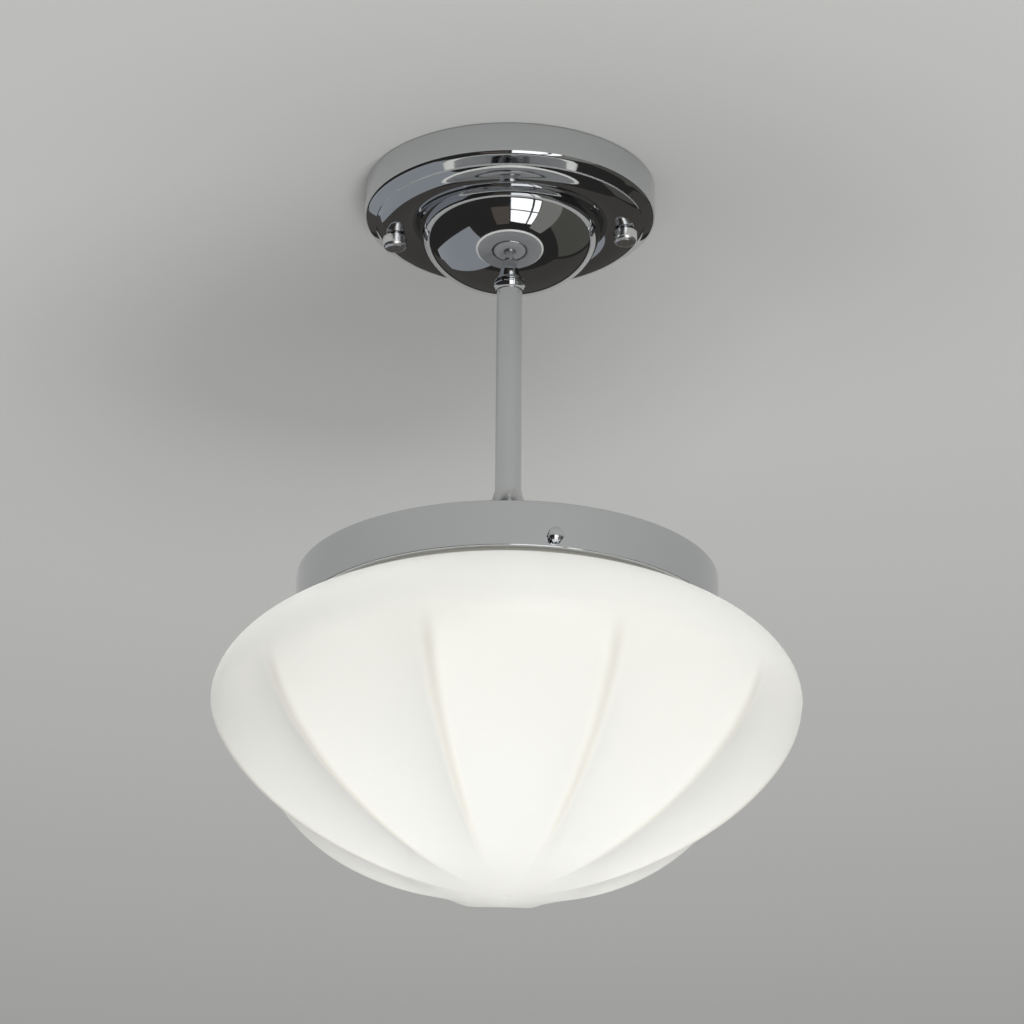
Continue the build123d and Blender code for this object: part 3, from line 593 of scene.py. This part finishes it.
def fluted_radius(share, angle):
    """Radius of the bowl as a share of its ridge radius, at a share of its depth and an angle."""
    fade = min(1, bowl_width(share) / FLUTE_FADE) ** 2 * (1 - exp(-((share / FLUTE_START) ** 2)))
    depth = FLUTE_SHARE * sin(share * pi / 2) ** FLUTE_POWER * fade
    if depth < LEAST_FLUTE:
        return 1
    half = pi / RIDGES
    apex = 1 + RIDGE_HEIGHT * depth
    panel_depth = 1 - (1 - depth) / apex
    away = abs((angle - RIDGE_TURN + half) % (2 * half) - half)
    if away >= RIDGE_ROUND:
        return panel_radius(apex, panel_depth, half - away)
    edge = panel_radius(apex, panel_depth, half - RIDGE_ROUND)
    return edge + (1 - edge) * (1 - (away / RIDGE_ROUND) ** 2)


def shade_side():
    """Profile of the shade's outside from the lip down to the pole, along a ridge."""
    lip_low = LIP_TOP_Z - LIP_HEIGHT
    lip_mid_r = LIP_R - LIP_ROUND
    lip_round = (LIP_ROUND, LIP_ROUND)
    turn = degrees(acos(NECK_R / SHADE_R))
    points = [(NECK_R - GLASS + LIP_ROUND, LIP_TOP_Z)]
    points += arc((lip_mid_r, LIP_TOP_Z - LIP_ROUND), lip_round, 90, 0, steps=6)
    points += arc((lip_mid_r, lip_low + LIP_ROUND), lip_round, 0, -90, steps=6)
    points.append((NECK_R, lip_low - LIP_STEP))
    points += arc((0, SHADE_MID_Z), (SHADE_R, SHADE_RISE), turn, 0, steps=26)
    for k in range(1, BOWL_STEPS):
        share = sin(k / BOWL_STEPS * pi / 2) ** BOWL_SPACING
        points.append((SHADE_R * bowl_width(share), SHADE_MID_Z - share * SHADE_DROP))
    points.append((0, shade_low.z))
    return points


def glass_shade():
    piece = turned("fluted_shade", shade_side(), RIDGES * PANEL_STEPS, closed=False)
    for corner in piece.data.vertices:
        share = (SHADE_MID_Z - corner.co.z) / SHADE_DROP
        if share > 0:
            ratio = fluted_radius(min(share, 1), atan2(corner.co.x, -corner.co.y))
            corner.co.x *= ratio
            corner.co.y *= ratio
    wall = piece.modifiers.new("wall", "SOLIDIFY")
    wall.thickness = GLASS
    wall.offset = -1
    apply_modifier(piece, wall)
    return smooth(piece, GLASS_SMOOTH_ANGLE)


def round_nut(name, node):
    """Round cap nut with a rounded lower edge and a plain bore in its upper end."""
    low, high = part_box(node)
    radius = (high.x - low.x) / 2
    x = (high.x + low.x) / 2
    floor_z = low.z + NUT_FLOOR
    points = [(0, low.z), (radius - NUT_CURVE, low.z)]
    points += arc((radius - NUT_CURVE, low.z + NUT_CURVE), (NUT_CURVE, NUT_CURVE), -90, 0, steps=8)[1:]
    points += [(radius, high.z - EDGE), (radius - EDGE, high.z)]
    points += [(NUT_BORE_R, high.z), (NUT_BORE_R, floor_z), (0, floor_z)]
    piece = turned(name, points, NUT_STEPS)
    piece.data.transform(Matrix.Translation((x, 0, 0)))
    return smooth(piece)


def select_end(piece, way):
    """Leaves only the round face on the axis selected that looks up (1) or down (-1), in edit mode."""
    bpy.ops.mesh.select_all(action="DESELECT")
    bpy.ops.object.mode_set(mode="OBJECT")
    for face in piece.data.polygons:
        on_axis = face.center.xy.length < KNURL
        face.select = on_axis and way * face.normal.z > 0.9
    bpy.ops.object.mode_set(mode="EDIT")


def raise_knurl(piece):
    """Raises every second strip of the rim, and stays in edit mode."""
    bpy.ops.object.mode_set(mode="EDIT")
    bpy.ops.mesh.select_mode(type="FACE")
    bpy.ops.mesh.select_all(action="DESELECT")
    bpy.ops.object.mode_set(mode="OBJECT")
    rim = [face for face in piece.data.polygons if abs(face.normal.z) < 0.5]
    rim.sort(key=lambda face: atan2(face.normal.y, face.normal.x))
    for face in rim[::2]:
        face.select = True
    bpy.ops.object.mode_set(mode="EDIT")
    bpy.ops.mesh.inset(thickness=KNURL_EDGE, depth=KNURL, use_individual=True)


def raise_crown(piece, core_r):
    """Domes the outer end of the head with insets that follow a sphere."""
    select_end(piece, 1)
    for k in range(CROWN_STEPS):
        first, last = (core_r * cos(pi / 2 * n / (CROWN_STEPS + 1)) for n in (k, k + 1))
        rise = sqrt(CROWN_R**2 - last**2) - sqrt(CROWN_R**2 - first**2)
        bpy.ops.mesh.inset(thickness=first - last, depth=rise)


def draw_shank(piece, core_r, length):
    """Draws the shank out of the inner end of the head."""
    select_end(piece, -1)
    bpy.ops.mesh.inset(thickness=core_r - SHANK_R)
    bpy.ops.mesh.extrude_region_move(TRANSFORM_OT_translate={"value": (0, 0, -length)})


def thumb_screw(number, angle):
    """Screw with a domed, knurled head."""
    head_start = GALLERY_R + HEAD_GAP
    core_r = HEAD_R - KNURL
    wall = HEAD_LENGTH - (CROWN_R - sqrt(CROWN_R**2 - core_r**2))
    middle = (0, 0, head_start + wall / 2)
    deselect()
    bpy.ops.mesh.primitive_cylinder_add(vertices=KNURL_STRIPS, radius=core_r, depth=wall, location=middle)
    piece = bpy.context.object
    piece.name = f"knurled_screw_{number}"
    piece.data.name = piece.name
    bpy.ops.object.transform_apply(location=True, rotation=False, scale=False)
    raise_knurl(piece)
    raise_crown(piece, core_r)
    draw_shank(piece, core_r, head_start - SHANK_START)
    bpy.ops.object.mode_set(mode="OBJECT")
    piece.data.transform(Matrix.Translation((0, 0, SCREW_Z)) @ outwards(angle))
    return smooth(piece)


def finish_piece(piece, body, slot, material, *nodes):
    """Gives a piece its material and the body it rides on, and hides the nodes it stands for; the slot is not
    used.
    """
    piece.data.materials.clear()
    piece.data.materials.append(material)
    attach(piece, body)
    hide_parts(*nodes)


finish_piece(ceiling_rose(), "fixture", "chrome", chrome, "ceiling_rose")
finish_piece(gallery_shell(), "fixture", "chrome", chrome, "gallery")
finish_piece(rod(), "fixture", "chrome", chrome, "rod_tube")
upper_collar = flared_collar("upper_collar", "rod_top_collar", upwards=False)
finish_piece(upper_collar, "fixture", "chrome", chrome, "rod_top_collar")
lower_collar = flared_collar("lower_collar", "rod_lower_collar", upwards=True)
finish_piece(lower_collar, "fixture", "chrome", collar_chrome, "rod_lower_collar")
finish_piece(glass_shade(), "shade", "opal_glass", opal, "glass_shade")
for side in ("left", "right"):
    nut = round_nut("cap_nut_" + side, "rose_nut_" + side)
    finish_piece(nut, "nut_" + side, "chrome", nut_chrome_painted_light, "rose_nut_" + side)
for number, angle in enumerate(SCREW_ANGLES, start=1):
    screw = thumb_screw(number, angle)
    finish_piece(screw, f"screw_{number}", "chrome", chrome, f"thumb_screw_{number}")

for part in frame["record"]["subparts"]:
    node_object = frame["nodes"][part["node"]]
    finish = nylon if part["node"].startswith("nylon") else node_materials[part["material_slot"]]
    node_object.data.materials.clear()
    node_object.data.materials.append(finish)


# Stage: ceiling, floor, soft light with a window, and the camera
CEILING_GAP = 0.3 * MM
CEILING_R = 4.5
CEILING_STEPS = 96
CEILING_PAINT = (0.575, 0.575, 0.56)
FLOOR_Z = -2.2
FLOOR_SIZE = 12
FLOOR_PAINT = (0.42, 0.42, 0.41)
PAINT_SECOND_TONE = 0.985
PAINT_SHINE = 0.1

# Light of the room: strengths under and over the horizon, and what the chrome mirrors instead
LIGHT_COLOUR = (0.98, 0.985, 1.0)
LIGHT_BELOW = 0.24
LIGHT_ABOVE = 1.5
HORIZON = 0.3
DIM_ROOM = (0.028, 0.027, 0.026)
MIRRORED_ABOVE = 14
MIRRORED_ABOVE_START = 0.06
MIRRORED_ABOVE_END = 0.15

# Soft lamps: azimuth and elevation in degrees, distance and size in metres, power in watts
SOFT_LAMPS = {
    "key_lamp": (28, -48, 2.2, 1.0, 20.0),
    "fill_lamp": (-70, -60, 2.2, 1.6, 5.0),
    "floor_lamp": (0, -90, 1.9, 2.6, 20.0),
}

# Cards that the chrome mirrors: one lies flat, the others stand between azimuths and elevations in degrees
FLAT_CARD_PLACE = (-2.47, 2.26, -1.53)
FLAT_CARD_TURN = (0, 0, radians(34))
FLAT_CARD_SIZE = (1.86, 6.0)
FLAT_CARD_COLOUR = (0.29, 0.31, 0.335)
CARD_DISTANCE = 4.0
UPRIGHT_CARDS = {
    "curtain_card": ((44, 72), (-58, 8), (0.235, 0.23, 0.215)),
    "right_wall_card": ((72, 136), (-46, 8), (0.085, 0.085, 0.075)),
    "front_wall_card": ((-21, 3), (-56, -22), (0.1, 0.085, 0.07)),
    "back_wall_card": ((140, 220), (-50, -4), (0.06, 0.057, 0.052)),
}

# Window: its post and rail lie at these shares of its width and height
WINDOW_DISTANCE = 2.0
WINDOW_AZIMUTHS = (4, 44)
WINDOW_ELEVATIONS = (-53, -1)
WINDOW_POST = 0.73
WINDOW_RAIL = 0.585
WINDOW_BAR = 0.1
WINDOW_GLOW = 1.8

# Camera, fitted to the ellipses of the rose and the gallery in the photograph
CAMERA_PLACE = (0.10353, -1.47974, -0.76036)
CAMERA_HEADING = radians(3.943)
CAMERA_PITCH = radians(22.816)
CAMERA_ROLL = 0.0065
CAMERA_LENS = 149.12
CAMERA_SENSOR = 36


def stage_surface(plane, name, paint, bump):
    """Gives a plane of the stage a plain matt paint."""
    plane.name = name
    second = tuple(PAINT_SECOND_TONE * c for c in paint)
    material, shader = surface(name, paint, second, tone_scale=3, low=0.85, high=0.95,
                               mark_scale=30, bump=bump, fine_scale=400)
    shader.inputs["Specular IOR Level"].default_value = PAINT_SHINE
    plane.data.materials.append(material)
    return material, shader


def make_floor():
    deselect()
    bpy.ops.mesh.primitive_plane_add(size=FLOOR_SIZE, location=(0, 0, FLOOR_Z))
    floor = bpy.context.object
    stage_surface(floor, "floor", FLOOR_PAINT, bump=0.05)
    floor.visible_diffuse = False
    floor.visible_glossy = False


def ceiling_ring():
    """Flat ring that looks down, open above the rose so that light falls into it."""
    opening = ROSE_R - 2 * SHEET
    spread = CEILING_R / opening
    middle = (0, 0, CEILING_GAP)
    deselect()
    bpy.ops.mesh.primitive_circle_add(vertices=CEILING_STEPS, radius=opening, location=middle)
    plane = bpy.context.object
    bpy.ops.object.mode_set(mode="EDIT")
    bpy.ops.mesh.select_mode(type="EDGE")
    bpy.ops.mesh.select_all(action="SELECT")
    bpy.ops.mesh.extrude_region_move()
    bpy.ops.transform.resize(value=(spread, spread, 1), center_override=middle)
    bpy.ops.mesh.select_all(action="SELECT")
    bpy.ops.mesh.normals_make_consistent(inside=False)
    bpy.ops.object.mode_set(mode="OBJECT")
    if plane.data.polygons[0].normal.z > 0:
        plane.data.flip_normals()
    return plane


def make_ceiling():
    """Painted ceiling that shows only from below."""
    plane = ceiling_ring()
    material, shader = stage_surface(plane, "ceiling", CEILING_PAINT, bump=0.1)
    tree = material.node_tree
    side = add_node(tree, "ShaderNodeNewGeometry").outputs["Backfacing"]
    clear = add_node(tree, "ShaderNodeBsdfTransparent").outputs["BSDF"]
    mix = add_node(tree, "ShaderNodeMixShader", {"Fac": side, 1: shader.outputs["BSDF"], 2: clear})
    tree.links.new(mix.outputs["Shader"], tree.nodes["Material Output"].inputs["Surface"])
    plane.visible_diffuse = False


def direction(azimuth, elevation):
    """Unit vector at an azimuth from -Y towards +X and an elevation, both in degrees."""
    turn = radians(azimuth)
    rise = radians(elevation)
    return Vector((sin(turn) * cos(rise), -cos(turn) * cos(rise), sin(rise)))


def make_world():
    """Soft light, stronger from above; the chrome mirrors a dim room, which is brighter above the ceiling."""
    world = bpy.data.worlds.new("soft_room")
    world.use_nodes = True
    bpy.context.scene.world = world
    tree = world.node_tree
    place = add_node(tree, "ShaderNodeTexCoord").outputs["Generated"]
    height = add_node(tree, "ShaderNodeSeparateXYZ", {"Vector": place}).outputs["Z"]
    level = ramp(tree, height, start=-HORIZON, end=HORIZON, top=LIGHT_ABOVE, bottom=LIGHT_BELOW)
    soft = tree.nodes["Background"]
    soft.inputs["Color"].default_value = (*LIGHT_COLOUR, 1)
    tree.links.new(level, soft.inputs["Strength"])
    lift = ramp(tree, height, MIRRORED_ABOVE_START, MIRRORED_ABOVE_END, MIRRORED_ABOVE, 1, kind="LINEAR")
    dim = add_node(tree, "ShaderNodeBackground", {"Color": (*DIM_ROOM, 1), "Strength": lift})
    mirrored = add_node(tree, "ShaderNodeLightPath").outputs["Is Glossy Ray"]
    lights = {"Fac": mirrored, 1: soft.outputs["Background"], 2: dim.outputs["Background"]}
    mix = add_node(tree, "ShaderNodeMixShader", lights)
    tree.links.new(mix.outputs["Shader"], tree.nodes["World Output"].inputs["Surface"])


def make_card(name, place, turn, size, colour):
    """Plain card that only the chrome mirrors."""
    deselect()
    bpy.ops.mesh.primitive_plane_add(size=1, location=place, rotation=turn)
    card = bpy.context.object
    card.name = name
    card.scale = (*size, 1)
    material = bpy.data.materials.new(name)
    material.use_nodes = True
    shader = material.node_tree.nodes["Principled BSDF"]
    shader.inputs["Base Color"].default_value = (0, 0, 0, 1)
    shader.inputs["Emission Color"].default_value = (*colour, 1)
    shader.inputs["Emission Strength"].default_value = 1
    card.data.materials.append(material)
    card.visible_camera = False
    card.visible_diffuse = False
    card.visible_transmission = False
    card.visible_shadow = False


def upright(distance, azimuths, elevations):
    """Place, turn and size of an upright rectangle between two azimuths and two elevations."""
    middle = radians(sum(azimuths) / 2)
    low, high = (distance * tan(radians(angle)) for angle in elevations)
    place = Vector((distance * sin(middle), -distance * cos(middle), (low + high) / 2 + BEAD_CROWN_Z))
    width = 2 * distance * tan(radians(azimuths[1] - azimuths[0]) / 2)
    return place, (pi / 2, 0, middle), (width, high - low)


def make_cards():
    make_card("pale_floor_card", FLAT_CARD_PLACE, FLAT_CARD_TURN, FLAT_CARD_SIZE, FLAT_CARD_COLOUR)
    for name, (azimuths, elevations, colour) in UPRIGHT_CARDS.items():
        make_card(name, *upright(CARD_DISTANCE, azimuths, elevations), colour)


def area_lamp(name, place, turn, size, power):
    """Flat lamp that shines along its own -Z."""
    data = bpy.data.lights.new(name, "AREA")
    data.shape = "RECTANGLE"
    data.size, data.size_y = size
    data.energy = power
    lamp = bpy.data.objects.new(name, data)
    bpy.context.collection.objects.link(lamp)
    lamp.location = place
    lamp.rotation_euler = turn
    lamp.visible_camera = False
    return lamp


def soft_lamp(name, azimuth, elevation, distance, size, power):
    """Large soft lamp that the chrome doesn't mirror."""
    way = direction(azimuth, elevation)
    turn = (-way).to_track_quat("-Z", "Y").to_euler()
    lamp = area_lamp(name, way * distance + Vector((0, 0, SHADE_MID_Z)), turn, (size, size), power)
    lamp.visible_glossy = False


def make_window():
    """Upright window of four panes, each a lamp; its bars are the gaps between them."""
    place, turn, (width, height) = upright(WINDOW_DISTANCE, WINDOW_AZIMUTHS, WINDOW_ELEVATIONS)
    facing = Matrix.Rotation(turn[2], 4, "Z") @ Matrix.Rotation(pi / 2, 4, "X")
    for left, right in ((0, WINDOW_POST), (WINDOW_POST, 1)):
        for low, high in ((0, WINDOW_RAIL), (WINDOW_RAIL, 1)):
            size = ((right - left) * width - WINDOW_BAR, (high - low) * height - WINDOW_BAR)
            shift = Vector((((left + right) / 2 - 0.5) * width, ((low + high) / 2 - 0.5) * height, 0))
            power = WINDOW_GLOW * pi * size[0] * size[1]
            lamp = area_lamp("pane", place + facing @ shift, turn, size, power)
            lamp.visible_diffuse = False


def make_camera():
    """Camera at the photograph's place: in front, a little to the right, looking up."""
    data = bpy.data.cameras.new("camera")
    data.sensor_width = CAMERA_SENSOR
    data.lens = CAMERA_LENS
    camera = bpy.data.objects.new("camera", data)
    bpy.context.collection.objects.link(camera)
    heading = Matrix.Rotation(CAMERA_HEADING, 4, "Z")
    pitch = Matrix.Rotation(pi / 2 + CAMERA_PITCH, 4, "X")
    roll = Matrix.Rotation(CAMERA_ROLL, 4, "Z")
    camera.matrix_world = Matrix.Translation(CAMERA_PLACE) @ heading @ pitch @ roll
    bpy.context.scene.camera = camera


make_ceiling()
make_floor()
make_world()
for lamp_name, lamp_values in SOFT_LAMPS.items():
    soft_lamp(lamp_name, *lamp_values)
make_window()
make_cards()
make_camera()
bpy.context.scene.view_settings.view_transform = "Standard"
